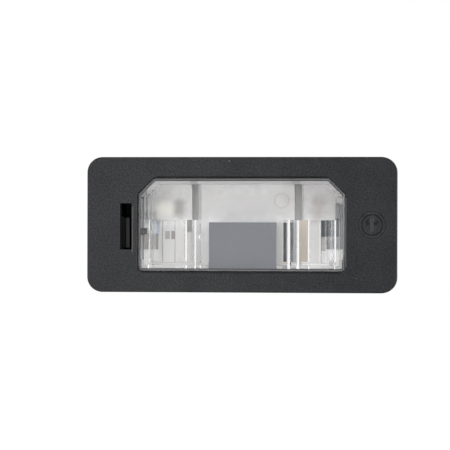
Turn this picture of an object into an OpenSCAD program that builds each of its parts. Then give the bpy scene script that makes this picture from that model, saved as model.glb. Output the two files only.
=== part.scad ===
// Clip-in number plate lamp for a car, drawn as it looks at the number plate.
// X runs along the lamp, +Z is up on its face and +Y goes into the car body.
// The origin is the centre of the face that seats on the body panel.

/* [Face moulding] */
// Length of the face
face_w = 82.8; // [78:0.1:90]
// Height of the face
face_h = 36; // [33:0.5:42]
// Thickness of the face plate
face_t = 3; // [2.7:0.1:4]
// Radius of the face corners
face_corner = 4.1; // [2:0.1:6]
// Rounding of the front edge of the face
face_edge = 0.5; // [0.2:0.05:0.8]

/* [Window] */
// Length of the window
win_w = 55.7; // [53:0.1:57]
// Height of the window
win_h = 25.1; // [24:0.1:27]
// Leg of the two cut corners at the top of the window
win_chamfer = 4.3; // [2.5:0.1:5]
// Radius of the two lower corners of the window
win_corner = 1.3; // [0.6:0.1:2]
// Width of the ledge that the lens rim is bonded to
ledge_w = 0.75; // [0.65:0.05:1]
// Depth from the face to the ledge
ledge_depth = 1.7; // [1.6:0.05:1.9]

/* [Release slot] */
// Width of the slot
slot_w = 3.2; // [2.6:0.1:3.4]
// Height of the slot
slot_h = 12.4; // [11:0.1:14]
// Distance from the window edge to the slot
slot_from_window = 1.45; // [1.4:0.05:2.2]
// Drop of the slot below the middle of the face
slot_drop = 0.5; // [0:0.1:1.5]

/* [Mould mark] */
// Radius of the outer ring
mark_r = 3.75; // [3:0.05:4.2]
// Radius of the turning disc inside it
mark_disc_r = 2.95; // [2.4:0.05:3.1]
// Distance from the right end of the face to the middle of the mark
mark_from_end = 6.45; // [5.5:0.05:8]
// Depth of the mark's grooves
mark_depth = 0.3; // [0.2:0.02:0.4]

/* [Lens] */
// Gap between the lens and the window
lens_gap = 0.2; // [0.1:0.05:0.25]
// How far the lens lies below the face
lens_sink = 0.2; // [0.1:0.05:0.4]
// Height of the raised pad over the rim of the lens
lens_pad_t = 0.4; // [0.2:0.05:0.5]
// Width of the low rim round the pad
lens_rim_w = 0.7; // [0.6:0.05:1]
// Thickness of the lens under the pad
lens_t = 1.7; // [1.5:0.1:2]
// Thickness of the wall that runs back from the lens
lens_wall = 0.95; // [0.8:0.05:1.1]
// Thickness of the sealing bead under the rim
bead_t = 0.2; // [0.15:0.05:0.25]

/* [Prism blocks] */
// Widths of the ribs of one block, from the inner one outwards
rib_widths = [1.45, 2.45, 2.9, 3.35, 3.6]; // [1:0.05:4]
// Slopes of the left block's ribs in degrees, positive where the inner side is thick
left_slopes = [33, 25.5, 13, -3, -12]; // [-36:0.5:36]
// Slopes of the right block's ribs
right_slopes = [33.5, 33.5, 31.5, -3, -30]; // [-36:0.5:36]
// Widths of the roof-shaped crests at the outer ends of the left block's ribs
left_crests = [0.64, 0.64, 0, 0, 0.5]; // [0:0.02:0.8]
// Widths of the roof-shaped crests at the outer ends of the right block's ribs
right_crests = [0.64, 0.64, 0.44, 0, 0.5]; // [0:0.02:0.8]
// Height of the top of the blocks over the middle of the lamp
block_top = 1.25; // [0:0.05:3]
// Thickness of the thin side of each rib behind the lens plate
rib_base = 0.9; // [0.6:0.05:1.1]

/* [Light tray] */
// Depth of the tray's raised middle behind the panel seat
tray_depth = 6.4; // [5.8:0.1:6.8]
// How much deeper the two side compartments are
tray_step = 0.8; // [0.4:0.1:1]
// Thickness of the tray's walls and floor
tray_wall = 0.8; // [0.7:0.05:1]
// Gap between the tray and the pieces around it
tray_gap = 0.15; // [0.1:0.05:0.2]
// Thickness of the milky light window in front of each light source
light_skin = 0.3; // [0.2:0.05:0.4]
// Length of the raised middle
middle_w = 26; // [24:0.2:28]
// Offset of the raised middle and of the grey block to the right
middle_shift = 0.35; // [0:0.05:0.5]
// Width of the slots beside the raised middle
tray_slot_w = 1.85; // [1.5:0.05:2.2]
// Drop of the slots' lower ends below the middle of the lamp
tray_slot_drop = 1.9; // [1:0.1:6]
// Distance from the window edge to the opening in the floor of the right compartment
floor_open_in = 3.6; // [3:0.1:4]
// Height of that opening
floor_open_h = 12.4; // [10:0.1:13]
// Drop of its middle below the middle of the lamp
floor_open_drop = 0.3; // [0:0.1:1]

/* [Shade block] */
// Length of the grey block
shade_w = 18.1; // [15:0.1:18.5]
// Height of the top of the block over the middle of the lamp
shade_top = 0.65; // [0:0.05:3]
// Thickness of its walls
shade_wall = 1.2; // [0.8:0.1:1.6]
// Slope of its sides in degrees, so that they don't show from in front
shade_draft = 8; // [7.5:0.5:12]

/* [Electronics] */
// Thickness of the circuit board
board_t = 1.2; // [1:0.1:1.6]
// Distance from the tray's middle to the circuit board
board_gap = 2.9; // [2.8:0.1:3.2]
// Distance between the middles of the two light sources
led_pitch = 42; // [38:0.5:42.5]
// Distance from the top of the window to the middle of the light sources
led_drop = 7.35; // [6.95:0.05:8.05]
// Length of a light source
led_w = 3.5; // [3:0.1:3.8]
// Height of a light source
led_h = 2.8; // [2.4:0.1:3.2]
// Thickness of a light source
led_t = 1.6; // [1.2:0.1:1.9]

/* [Rear housing] */
// Wall of the housing
case_wall = 1.4; // [1.2:0.1:1.5]
// Depth of the housing behind the panel seat
case_depth = 15.4; // [14.6:0.1:17]
// Distance from the panel seat to the catch faces, for the body panel
panel_t = 2.6; // [2.4:0.1:3]
// Thickness of the latch arm
arm_t = 1.3; // [1.1:0.05:1.4]
// Height of the latch arm
arm_h = 8; // [6.5:0.1:9]
// How far the latch nose stands out of its box
nose_out = 1.3; // [1:0.1:1.6]
// Wall of the box round the latch arm
latch_wall = 0.8; // [0.7:0.05:0.9]
// How far the fixed hook stands out of the housing
hook_out = 2.2; // [1.6:0.1:2.6]
// Height of the fixed hook
hook_h = 10; // [7:0.5:13]

/* [Plug socket] */
// Offset of the socket to the right
socket_x = 9; // [6:0.5:12]
// Length of the socket's opening
socket_w = 10.6; // [10.2:0.1:12]
// Height of the socket's opening
socket_h = 6.6; // [6:0.1:7.4]
// Wall of the socket
socket_wall = 1.2; // [1:0.1:1.5]
// Depth of the socket
socket_depth = 6.6; // [6:0.1:8]
// Distance between the middles of the two terminal pins
pin_pitch = 5.8; // [5.6:0.1:6]
// Thickness of a terminal pin
pin_t = 0.8; // [0.6:0.05:0.8]
// Width of a terminal pin
pin_w = 2.2; // [1.8:0.1:2.8]

/* [Hidden] */
$fn = 64;

// Smallest clearance between pieces that slide together
fit = 0.1;

// Planes across the depth
face_y = -face_t;
ledge_y = face_y + ledge_depth;
rebate_t = 0.4;
lens_y = face_y + lens_sink;
rim_y = lens_y + lens_pad_t;
rim_back_y = ledge_y - bead_t;
plate_back_y = lens_y + lens_t;
tray_floor_y = tray_depth + tray_step;
tray_front_y = plate_back_y + fit;
shade_y = tray_front_y;
board_y = tray_depth + board_gap;
board_back_y = board_y + board_t;
case_floor_y = case_depth - case_wall;
socket_end_y = case_depth + socket_depth;

// Outline offsets from the window edge, inwards
case_in = -ledge_w;
case_out = case_in + case_wall;
tray_out = case_in - tray_gap;
tray_in = tray_out - tray_wall;
skirt_out = tray_in - fit;
skirt_in = skirt_out - lens_wall;

// Half sizes of the housing
case_x = win_w / 2 + case_out;
case_z = win_h / 2 + case_out;
tray_z = win_h / 2 + tray_out;
skirt_x = win_w / 2 + skirt_in;

// Height of the light sources over the middle of the lamp
led_z = win_h / 2 - led_drop;

// Release slot and latch arm
slot_x = -win_w / 2 - slot_from_window - slot_w / 2;
arm_off = 0.85;
arm_out_x = slot_x - arm_off;
arm_in_x = arm_out_x + arm_t;
arm_gap = 0.5;
arm_z = -slot_drop - slot_h / 2 + arm_gap;
arm_tip_y = 0.3;
latch_room = 1.9;
latch_box_x = slot_x - slot_w / 2 - latch_room;
latch_box_h = slot_h + 2 * latch_wall;
latch_end_y = case_depth - 1;
latch_floor_t = 2;

// Places the outline of a solid in the X-Z plane and gives it depth from y0 to y1
module along_y(y0, y1) {
    translate([0, y1, 0])
        rotate([90, 0, 0])
            linear_extrude(height = y1 - y0)
                children();
}

// A rectangle with round corners
module round_rect(w, h, r) {
    square([w, h - 2 * r], center = true);
    square([w - 2 * r, h], center = true);
    for (sx = [-1, 1], sz = [-1, 1])
        translate([sx * (w / 2 - r), sz * (h / 2 - r)])
            circle(r = r);
}

// The window outline with cut corners at the top, grown by g on every side
module window_outline(g = 0) {
    w = win_w + 2 * g;
    h = win_h + 2 * g;
    c = win_chamfer + g * (2 - sqrt(2));
    r = max(win_corner + g, 0.15);
    difference() {
        union() {
            translate([-w / 2, -h / 2 + r])
                square([w, h - r]);
            translate([-w / 2 + r, -h / 2])
                square([w - 2 * r, 2 * r]);
            for (s = [-1, 1])
                translate([s * (w / 2 - r), -h / 2 + r])
                    circle(r = r);
        }
        for (s = [-1, 1])
            translate([s * w / 2, h / 2])
                rotate(45)
                    square(c * sqrt(2), center = true);
    }
}

// A plate whose front edge is rounded all the way round
module soft_plate(w, h, r, e, y0, y1) {
    along_y(y0 + e, y1)
        round_rect(w, h, r);
    along_y(y0, y1)
        round_rect(w - 2 * e, h - 2 * e, r - e);
    for (s = [-1, 1]) {
        translate([0, y0 + e, s * (h / 2 - e)])
            rotate([0, 90, 0])
                cylinder(r = e, h = w - 2 * r, center = true);
        translate([s * (w / 2 - e), y0 + e, 0])
            cylinder(r = e, h = h - 2 * r, center = true);
    }
    for (sx = [-1, 1], sz = [-1, 1])
        translate([sx * (w / 2 - r), y0 + e, sz * (h / 2 - r)])
            rotate([90, 0, 0])
                rotate_extrude()
                    translate([r - e, 0])
                        circle(r = e, $fn = 24);
}

// The pointer of the mould mark: a bar with an arrow head
module mark_arrow() {
    bar_w = 0.7;
    bar_l = 2 * mark_disc_r - 1.3;
    head = [1.05, 1.1, 0.5];
    square([bar_w, bar_l], center = true);
    translate([0, bar_l / 2 - head[2]])
        polygon([[-head[0], -head[1]], [head[0], -head[1]], [0, head[2]]]);
}

// The round mould mark: two ring grooves, plain ticks and a sunk disc with its pointer
module mould_mark() {
    ring_groove = 0.28;
    disc_groove = 0.42;
    tick = [0.18, 0.5];
    translate([face_w / 2 - mark_from_end, 0, 0]) {
        along_y(face_y - 1, face_y + mark_depth) {
            difference() {
                circle(r = mark_r);
                circle(r = mark_r - ring_groove);
            }
            difference() {
                circle(r = mark_disc_r);
                circle(r = mark_disc_r - disc_groove);
            }
        }
        along_y(face_y - 1, face_y + mark_depth / 2) {
            difference() {
                circle(r = mark_disc_r - disc_groove / 2);
                mark_arrow();
            }
            for (a = [0:30:330])
                rotate(a)
                    translate([0, (mark_r + mark_disc_r) / 2])
                        square(tick, center = true);
        }
    }
}

// Outline of the box round the latch arm, from its outer side to the housing wall
module latch_outline(g = 0) {
    translate([latch_box_x - g, -slot_drop - latch_box_h / 2 - g])
        square([-latch_box_x - case_x + g + fit, latch_box_h + 2 * g]);
}

// Black face moulding: plate, window with its ledge, weld rebate, slot and mark
module front_frame() {
    color([0.25, 0.25, 0.26])
        difference() {
            soft_plate(face_w, face_h, face_corner, face_edge, face_y, 0);
            along_y(face_y - 1, ledge_y)
                window_outline();
            along_y(face_y, 1)
                window_outline(case_in);
            along_y(-rebate_t, 1) {
                window_outline(case_out + fit);
                latch_outline(fit);
            }
            translate([slot_x, 0, -slot_drop])
                along_y(face_y - 1, 1)
                    square([slot_w, slot_h], center = true);
            mould_mark();
        }
}

// Inner end of each rib, counted from the block's inner side
function rib_start(i) = i == 0 ? 0 : rib_start(i - 1) + rib_widths[i - 1];
rib_last = len(rib_widths) - 1;
block_w = rib_start(rib_last + 1);
crest_lift = 0.05;
// Thickness of a rib behind the lens plate, at x from the block's inner side
function rib_y(slopes, i, x) = rib_base
    + tan(abs(slopes[i])) * (slopes[i] > 0 ? rib_start(i + 1) - x : x - rib_start(i));
// Inner side of a block, whose last crest ends at the lens wall
function block_x(crests) = skirt_x - crests[rib_last] / 2 - block_w;
// Deepest point of a block
function block_end_y(slopes, crests) = plate_back_y + rib_base + crest_lift + max(crests) / 2
    + max([for (i = [0:rib_last]) rib_widths[i] * tan(abs(slopes[i]))]);

// Outline of the crest at the outer end of rib i, or the plain step where it has none
function crest_points(slopes, i, c) =
    let (x = rib_start(i + 1), x0 = x - c / 2, x1 = x + c / 2)
    let (y0 = rib_y(slopes, i, x0), y1 = i == rib_last ? 0 : rib_y(slopes, i + 1, x1))
    let (top = max(y0, y1) + crest_lift)
    c > 0
        ? [[x0, y0], [x0, top], [x, top + c / 2], [x1, top], [x1, y1]]
        : y0 == y1 ? [[x, y0]] : [[x, y0], [x, y1]];

// The saw-tooth section of a prism block, seen from above, from its inner side
function block_section(slopes, crests) = concat(
    [[0, -fit], [0, rib_y(slopes, 0, 0)]],
    [for (i = [0:rib_last]) each crest_points(slopes, i, crests[i])],
    [[block_w + crests[rib_last] / 2, -fit]]
);

// One ribbed prism block behind the lens plate
module prism_block(slopes, crests) {
    translate([block_x(crests), plate_back_y, -tray_z])
        linear_extrude(height = block_top + tray_z)
            polygon(block_section(slopes, crests));
}

// Gate scallop in the inner side of the left prism block
module gate_scallop() {
    scallop_r = 1.6;
    scallop_in = 0.35;
    scallop_z = -3.4;
    translate([-block_x(left_crests) - scallop_in + scallop_r, 0, scallop_z])
        along_y(plate_back_y, block_end_y(left_slopes, left_crests) + fit)
            circle(r = scallop_r);
}

// Clear lens: plate with raised pad, wall behind it, deeper at its ends, and two prism blocks
module lens() {
    cheek_l = 0.8;
    low_wall_y = 1;
    color([0.86, 0.88, 0.9, 0.4])
        difference() {
            union() {
                along_y(rim_y, rim_back_y)
                    window_outline(-lens_gap);
                along_y(lens_y, plate_back_y)
                    window_outline(-lens_gap - lens_rim_w);
                difference() {
                    along_y(plate_back_y - fit, tray_depth)
                        window_outline(skirt_out);
                    along_y(plate_back_y, tray_depth + 1)
                        window_outline(skirt_in);
                    translate([cheek_l - skirt_x, low_wall_y, -win_h])
                        cube([2 * (skirt_x - cheek_l), tray_depth, 2 * win_h]);
                }
                prism_block(right_slopes, right_crests);
                mirror([1, 0, 0])
                    prism_block(left_slopes, left_crests);
            }
            gate_scallop();
            shade_notch(plate_back_y, tray_depth + 1);
            key(fit);
        }
}

// Space that the grey block takes through the lower walls of lens and tray
module shade_notch(y0, y1) {
    translate([middle_shift - shade_w / 2 - fit, y0, -win_h / 2])
        cube([shade_w + 2 * fit, y1 - y0, shade_top + fit + win_h / 2]);
}

// Space in the lower wall of the tray for a prism block of the lens
module block_notch(slopes, crests) {
    notch_w = skirt_x - block_x(crests) + 2 * tray_gap;
    notch_end_y = block_end_y(slopes, crests) + tray_gap;
    translate([block_x(crests) - tray_gap, tray_front_y - fit, -win_h / 2])
        cube([notch_w, notch_end_y - tray_front_y + fit, -skirt_out]);
}

// Sealing bead between the lens rim and the ledge
module lens_bead() {
    bead_out = 0.1;
    bead_in = 0.1;
    color([0.6, 0.6, 0.6])
        along_y(rim_back_y, ledge_y)
            difference() {
                window_outline(-lens_gap - bead_out);
                window_outline(case_in + bead_in);
            }
}

// The small key on the housing wall that sets the lens the right way round
module key(grow = 0) {
    key_h = 1.7;
    key_drop = 0.9;
    key_reach = 1.65;
    key_end_y = 2.2;
    translate([-case_x + case_wall / 2, -rebate_t - grow, -key_drop - key_h - grow])
        cube([case_wall / 2 + key_reach + grow, rebate_t + key_end_y + 2 * grow, key_h + 2 * grow]);
}

// White light tray: raised middle, two side compartments with light windows, legs
module light_tray() {
    led_gap = 0.4;
    witness_r = 2.1;
    witness_at = [9.9, 6.5];
    witness_depth = 0.12;
    witness_line = 0.25;
    leg_w = 2;
    leg_x = 16.4;
    leg_z = 7;
    core_edge = 2;
    end_wall_y = 2.5;
    end_wall_z = [-9.2, 7.4];
    floor_open_x = win_w / 2 - floor_open_in;
    floor_open_z = -floor_open_drop - floor_open_h / 2;
    open_step_w = 1.6;
    open_step_z = [-3.3, 1.2];
    color([0.93, 0.93, 0.92])
        difference() {
            union() {
                along_y(tray_front_y, tray_floor_y + tray_wall)
                    window_outline(tray_out);
                for (sx = [-1, 1], sz = [-1, 1])
                    translate([sx * leg_x - leg_w / 2, tray_floor_y, sz * leg_z - leg_w / 2])
                        cube([leg_w, board_y - tray_floor_y, leg_w]);
            }
            along_y(tray_front_y - fit, tray_depth)
                window_outline(tray_in);
            for (s = [-1, 1])
                intersection() {
                    along_y(tray_front_y - fit, tray_floor_y)
                        window_outline(tray_in);
                    translate([middle_shift + s * (middle_w + win_w) / 2, 0, 0])
                        cube([win_w, win_w, win_w], center = true);
                }
            translate([middle_shift - middle_w / 2 + tray_wall, tray_depth + tray_wall,
                    -tray_z + core_edge])
                cube([middle_w - 2 * tray_wall, tray_step + tray_wall, 2 * (tray_z - core_edge)]);
            for (s = [-1, 1]) {
                translate([middle_shift + s * (middle_w + tray_slot_w) / 2 - tray_slot_w / 2,
                        tray_depth - fit, -tray_slot_drop])
                    cube([tray_slot_w, board_y - tray_depth, win_h / 2 + tray_in + tray_slot_drop]);
                translate([s * led_pitch / 2, 0, led_z])
                    along_y(tray_floor_y + light_skin, board_y)
                        square([led_w + 2 * led_gap, led_h + 2 * led_gap], center = true);
                translate([s * (win_w / 2 + tray_out) - tray_wall * 3 / 2, tray_front_y - fit,
                        end_wall_z[0]])
                    cube([3 * tray_wall, end_wall_y - tray_front_y + fit,
                        end_wall_z[1] - end_wall_z[0]]);
            }
            translate([floor_open_x, tray_floor_y - fit, floor_open_z])
                cube([floor_open_in + tray_in, tray_wall + 2 * fit, floor_open_h]);
            translate([floor_open_x - open_step_w, tray_floor_y - fit, open_step_z[0]])
                cube([open_step_w + fit, tray_wall + 2 * fit, open_step_z[1] - open_step_z[0]]);
            translate([witness_at[0], 0, witness_at[1]])
                along_y(tray_depth - fit, tray_depth + witness_depth)
                    difference() {
                        circle(r = witness_r);
                        circle(r = witness_r - witness_line);
                    }
            block_notch(right_slopes, right_crests);
            mirror([1, 0, 0])
                block_notch(left_slopes, left_crests);
            shade_notch(tray_front_y - fit, tray_depth);
        }
}

// Outline of the shade block, seen from above, from y0 to y1 and inset by g from its sides
module shade_outline(g, y0, y1) {
    function half(y) = shade_w / 2 - g - (y - shade_y) * tan(shade_draft);
    polygon([[-half(y0), y0], [half(y0), y0], [half(y1), y1], [-half(y1), y1]]);
}

// Grey shade block, a hollow cap that stands on the tray between the prism blocks
module shade_block() {
    foot_z = -tray_z;
    color([0.5, 0.51, 0.53])
        difference() {
            translate([middle_shift, 0, foot_z])
                linear_extrude(height = shade_top - foot_z)
                    shade_outline(0, shade_y, tray_depth);
            translate([middle_shift, 0, foot_z + shade_wall])
                linear_extrude(height = shade_top - foot_z - 2 * shade_wall)
                    shade_outline(shade_wall, shade_y + shade_wall, tray_depth + fit);
        }
}

// Middles of the four posts that carry the circuit board
post_x = win_w / 2 - 5.2;
post_z = win_h / 2 - 4.4;
post_r = 1.5;
stake_r = 0.8;

// Circuit board with the holes for its posts and for the two terminal pins
module circuit_board() {
    board_edge = 0.4;
    color([0.9, 0.91, 0.88])
        along_y(board_y, board_back_y)
            difference() {
                window_outline(case_in - board_edge);
                for (sx = [-1, 1], sz = [-1, 1])
                    translate([sx * post_x, sz * post_z])
                        circle(r = stake_r + fit);
                for (s = [-1, 1])
                    translate([socket_x + s * pin_pitch / 2, 0])
                        square([pin_t + fit, pin_w + fit], center = true);
            }
}

// One light source: a moulded package with a round cup and two solder feet
module led(side) {
    foot = 0.25;
    foot_short = 0.3;
    lift = 0.1;
    cup_depth = 0.3;
    cup_edge = 0.3;
    translate([side * led_pitch / 2, 0, led_z]) {
        color([0.95, 0.94, 0.86])
            difference() {
                along_y(board_y - led_t, board_y - lift)
                    square([led_w - 2 * foot, led_h], center = true);
                along_y(board_y - led_t - 1, board_y - led_t + cup_depth)
                    circle(r = led_h / 2 - cup_edge);
            }
        color([0.8, 0.8, 0.78])
            for (s = [-1, 1])
                translate([s * (led_w / 2 - foot), 0, 0])
                    along_y(board_y - led_t / 2, board_y)
                        square([2 * foot, led_h - 2 * foot_short], center = true);
    }
}

// Places of the parts on the back of the board
part_row_z = win_h / 2 - 4.95;
resistor_x = -win_w / 2 + 10.6;
resistor_pitch = (part_row_z + 1.2) / 2;
driver_x = -win_w / 2 + 20.6;
driver_z = part_row_z - 3.2;
diode_x = 1.5;

// A flat chip part with metal end caps, seated on the back of the board
module chip_part(x, z, size, cap, tone) {
    translate([x, 0, z]) {
        color(tone)
            along_y(board_back_y + 0.05, board_back_y + size[2])
                square([size[0] - 2 * cap, size[1]], center = true);
        color([0.75, 0.75, 0.76])
            for (s = [-1, 1])
                translate([s * (size[0] - cap) / 2, 0, 0])
                    along_y(board_back_y, board_back_y + size[2])
                        square([cap, size[1]], center = true);
    }
}

// Load resistor number i, counted from the lower end of the row
module load_resistor(i) {
    chip_part(resistor_x, (i - 2.5) * resistor_pitch, [6.3, 3.2, 0.7], 0.7, [0.12, 0.12, 0.13]);
}

// Suppressor capacitor
module capacitor(x, z) {
    chip_part(x, z, [3.2, 2.5, 1.7], 0.5, [0.72, 0.6, 0.42]);
}

// Driver chip with four legs on each side
module led_driver() {
    body = [5, 4, 1.6];
    lift = 0.15;
    leg_w = 0.4;
    leg_l = 0.9;
    leg_t = 0.2;
    leg_pitch = 1.27;
    translate([driver_x, 0, driver_z]) {
        color([0.15, 0.15, 0.16])
            along_y(board_back_y + lift, board_back_y + body[2])
                square([body[0], body[1]], center = true);
        color([0.78, 0.78, 0.8])
            for (i = [-1.5:1:1.5], s = [-1, 1])
                translate([i * leg_pitch, 0, s * body[1] / 2]) {
                    translate([0, 0, s * (leg_l / 2 - leg_w / 4)])
                        along_y(board_back_y, board_back_y + leg_t)
                            square([leg_w, leg_l], center = true);
                    translate([0, 0, s * leg_w / 4])
                        along_y(board_back_y, board_back_y + leg_l)
                            square([leg_w, leg_w], center = true);
                }
    }
}

// A diode body with a foot at each end
module diode(z) {
    body = [4.3, 2.6, 2.1];
    foot = [0.9, 1.5, 1];
    lift = 0.1;
    translate([diode_x, 0, z]) {
        color([0.16, 0.16, 0.17])
            along_y(board_back_y + lift, board_back_y + body[2])
                square([body[0], body[1]], center = true);
        color([0.75, 0.75, 0.76])
            for (s = [-1, 1])
                translate([s * body[0] / 2, 0, 0])
                    along_y(board_back_y, board_back_y + foot[2])
                        square([foot[0], foot[1]], center = true);
    }
}

// One terminal pin, from the board to near the mouth of the socket
module terminal_pin(side) {
    tip = 1.2;
    end_y = socket_end_y - 1.4;
    color([0.8, 0.78, 0.7])
        translate([socket_x + side * pin_pitch / 2, 0, 0]) {
            along_y(board_y - 0.6, end_y - tip)
                square([pin_t, pin_w], center = true);
            translate([-pin_t / 2, 0, 0])
                rotate([0, 90, 0])
                    linear_extrude(height = pin_t)
                        polygon([[-pin_w / 2, end_y - tip], [-pin_w / 4, end_y],
                            [pin_w / 4, end_y], [pin_w / 2, end_y - tip]]);
        }
}

// Latch arm with its nose, from the floor of its box to the tip behind the slot
module latch_arm() {
    nose_x = latch_box_x - nose_out;
    nose_flat = 1;
    nose_slope = 4.6;
    tip_edge = 0.3;
    root_y = latch_end_y - latch_floor_t + fit;
    root_brace = [0.6, 1.2];
    translate([0, 0, arm_z])
        linear_extrude(height = arm_h)
            polygon([[arm_out_x, root_y], [arm_out_x, panel_t + nose_flat + nose_slope],
                [nose_x, panel_t + nose_flat], [nose_x, panel_t], [arm_out_x, panel_t],
                [arm_out_x, arm_tip_y + tip_edge], [arm_out_x + tip_edge, arm_tip_y],
                [arm_in_x, arm_tip_y], [arm_in_x, root_y - root_brace[1]],
                [arm_in_x + root_brace[0], root_y]]);
}

// Box round the latch arm, with a window in its outer wall for the nose
module latch_box() {
    nose_window_h = arm_h + 2 * arm_gap;
    difference() {
        along_y(-rebate_t, latch_end_y)
            latch_outline();
        along_y(-rebate_t - 1, latch_end_y - latch_floor_t)
            translate([latch_box_x + latch_wall, -slot_drop - slot_h / 2])
                square([-latch_box_x - latch_wall - case_x, slot_h]);
        translate([latch_box_x - 1, panel_t - 0.6, arm_z - arm_gap])
            cube([latch_wall + 2, 7, nose_window_h]);
    }
    latch_arm();
}

// Fixed hook on the other end of the housing
module fixed_hook() {
    translate([0, 0, -hook_h / 2])
        linear_extrude(height = hook_h)
            polygon([[case_x - fit, panel_t], [case_x + hook_out, panel_t],
                [case_x + hook_out, panel_t + 1.4], [case_x - fit, panel_t + 5]]);
}

// Shroud that the plug goes into, with a latch ramp for the plug on top
module socket_shroud() {
    corner = 1.2;
    ramp_w = 4;
    translate([socket_x, 0, 0]) {
        along_y(case_depth - fit, socket_end_y)
            round_rect(socket_w + 2 * socket_wall, socket_h + 2 * socket_wall, corner);
        translate([-ramp_w / 2, 0, 0])
            rotate([90, 0, 90])
                linear_extrude(height = ramp_w)
                    polygon([[case_depth + 2, socket_h / 2 + socket_wall - fit],
                        [case_depth + 2, socket_h / 2 + socket_wall + 1.1],
                        [socket_end_y - 1, socket_h / 2 + socket_wall - fit]]);
    }
}

// Black rear housing in one moulding: tub, posts, latch arm, hook, ribs and socket
module rear_housing() {
    rib_t = 1;
    rib_out = 1.2;
    rib_short = 2.5;
    rib_pitch = 7;
    rib_x = case_x - 6.5;
    pad_x = 16;
    pad = [1.2, 7, 0.3];
    back_edge = 0.7;
    color([0.13, 0.13, 0.14])
        difference() {
            union() {
                difference() {
                    union() {
                        along_y(-rebate_t, case_depth - back_edge)
                            window_outline(case_out);
                        hull() {
                            along_y(case_depth - 2 * back_edge, case_depth - back_edge)
                                window_outline(case_out);
                            along_y(case_depth - back_edge, case_depth)
                                window_outline(case_out - back_edge);
                        }
                    }
                    along_y(-rebate_t - 1, case_floor_y)
                        window_outline(case_in);
                }
                for (sx = [-1, 1], sz = [-1, 1])
                    translate([sx * post_x, 0, sz * post_z]) {
                        along_y(board_back_y, case_floor_y + fit)
                            circle(r = post_r);
                        along_y(board_y - 0.5, board_back_y + fit)
                            circle(r = stake_r);
                    }
                for (x = [-rib_x, rib_pitch - rib_x, 2 * rib_pitch - rib_x, rib_x])
                    translate([x - rib_t / 2, case_depth - fit, -case_z + rib_short])
                        cube([rib_t, rib_out + fit, 2 * (case_z - rib_short)]);
                for (sx = [-1, 1], sz = [-1, 1])
                    translate([sx * pad_x - pad[0] / 2, panel_t, sz < 0 ? -case_z - pad[2] : case_z - fit])
                        cube([pad[0], pad[1], pad[2] + fit]);
                latch_box();
                fixed_hook();
                socket_shroud();
                key();
            }
            translate([socket_x, 0, 0])
                along_y(case_depth, socket_end_y + 1)
                    round_rect(socket_w, socket_h, 0.6);
            for (s = [-1, 1])
                translate([socket_x + s * pin_pitch / 2, 0, 0])
                    along_y(case_floor_y - 1, case_depth + 1)
                        square([pin_t + fit, pin_w + fit], center = true);
        }
}

front_frame();
lens();
lens_bead();
light_tray();
shade_block();
circuit_board();
led(-1);  // led_left
led(1);  // led_right
load_resistor(1);  // load_resistor_1
load_resistor(2);  // load_resistor_2
load_resistor(3);  // load_resistor_3
load_resistor(4);  // load_resistor_4
led_driver();
diode(part_row_z);  // polarity_diode
diode(-part_row_z);  // surge_diode
capacitor(socket_x, -part_row_z);  // supply_capacitor
capacitor(driver_x, -driver_z);  // driver_capacitor
terminal_pin(1);  // terminal_pin_plus
terminal_pin(-1);  // terminal_pin_earth
rear_housing();
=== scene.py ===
"""Looks of a clip-in number plate lamp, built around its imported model."""
import math

import bmesh
import bpy
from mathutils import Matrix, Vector


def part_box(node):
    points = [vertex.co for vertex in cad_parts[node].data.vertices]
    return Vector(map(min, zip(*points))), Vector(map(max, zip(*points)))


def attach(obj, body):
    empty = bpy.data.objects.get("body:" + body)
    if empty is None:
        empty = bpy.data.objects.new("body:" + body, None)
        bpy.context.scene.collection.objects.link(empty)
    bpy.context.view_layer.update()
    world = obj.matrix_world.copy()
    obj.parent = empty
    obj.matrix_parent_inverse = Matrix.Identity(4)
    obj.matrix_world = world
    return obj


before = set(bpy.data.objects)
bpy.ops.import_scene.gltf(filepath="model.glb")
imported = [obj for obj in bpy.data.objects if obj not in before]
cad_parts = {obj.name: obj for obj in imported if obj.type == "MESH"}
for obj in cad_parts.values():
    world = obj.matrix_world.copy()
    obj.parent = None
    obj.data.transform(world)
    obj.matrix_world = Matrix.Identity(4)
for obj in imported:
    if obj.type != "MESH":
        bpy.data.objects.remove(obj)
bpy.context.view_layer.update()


# Camera
# A long lens looks at the light side of the lamp from 8 degrees towards the end
# with the mould mark, with the lamp just right of the picture's middle.
PICTURE = 450
LAMP_PIXELS = 312.5
LAMP_MIDDLE = (240.65, 224.8)
LENS_MM = 240.0
SENSOR_MM = 36.0
CAMERA_TURN = math.radians(8.0)
CAMERA_ROLL = math.radians(-0.13)
NEAREST_SEEN = 0.01

face_low, face_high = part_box("front_frame")
face_length = face_high[0] - face_low[0]
seen_width = PICTURE * face_length / LAMP_PIXELS
camera_far = seen_width * LENS_MM / SENSOR_MM
camera = bpy.data.objects.new("camera", bpy.data.cameras.new("camera"))
bpy.context.collection.objects.link(camera)
camera.data.lens = LENS_MM
camera.data.sensor_width = SENSOR_MM
camera.data.shift_x = (PICTURE / 2 - LAMP_MIDDLE[0]) / PICTURE
camera.data.shift_y = (LAMP_MIDDLE[1] - PICTURE / 2) / PICTURE
camera.data.clip_start = NEAREST_SEEN
away = Vector((math.sin(CAMERA_TURN), -math.cos(CAMERA_TURN), 0.0))
camera.location = Vector((0.0, face_low[1], 0.0)) + away * camera_far
camera.rotation_euler = (math.radians(90), CAMERA_ROLL, CAMERA_TURN)
bpy.context.scene.camera = camera
bpy.context.scene.view_settings.view_transform = "Standard"


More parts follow.
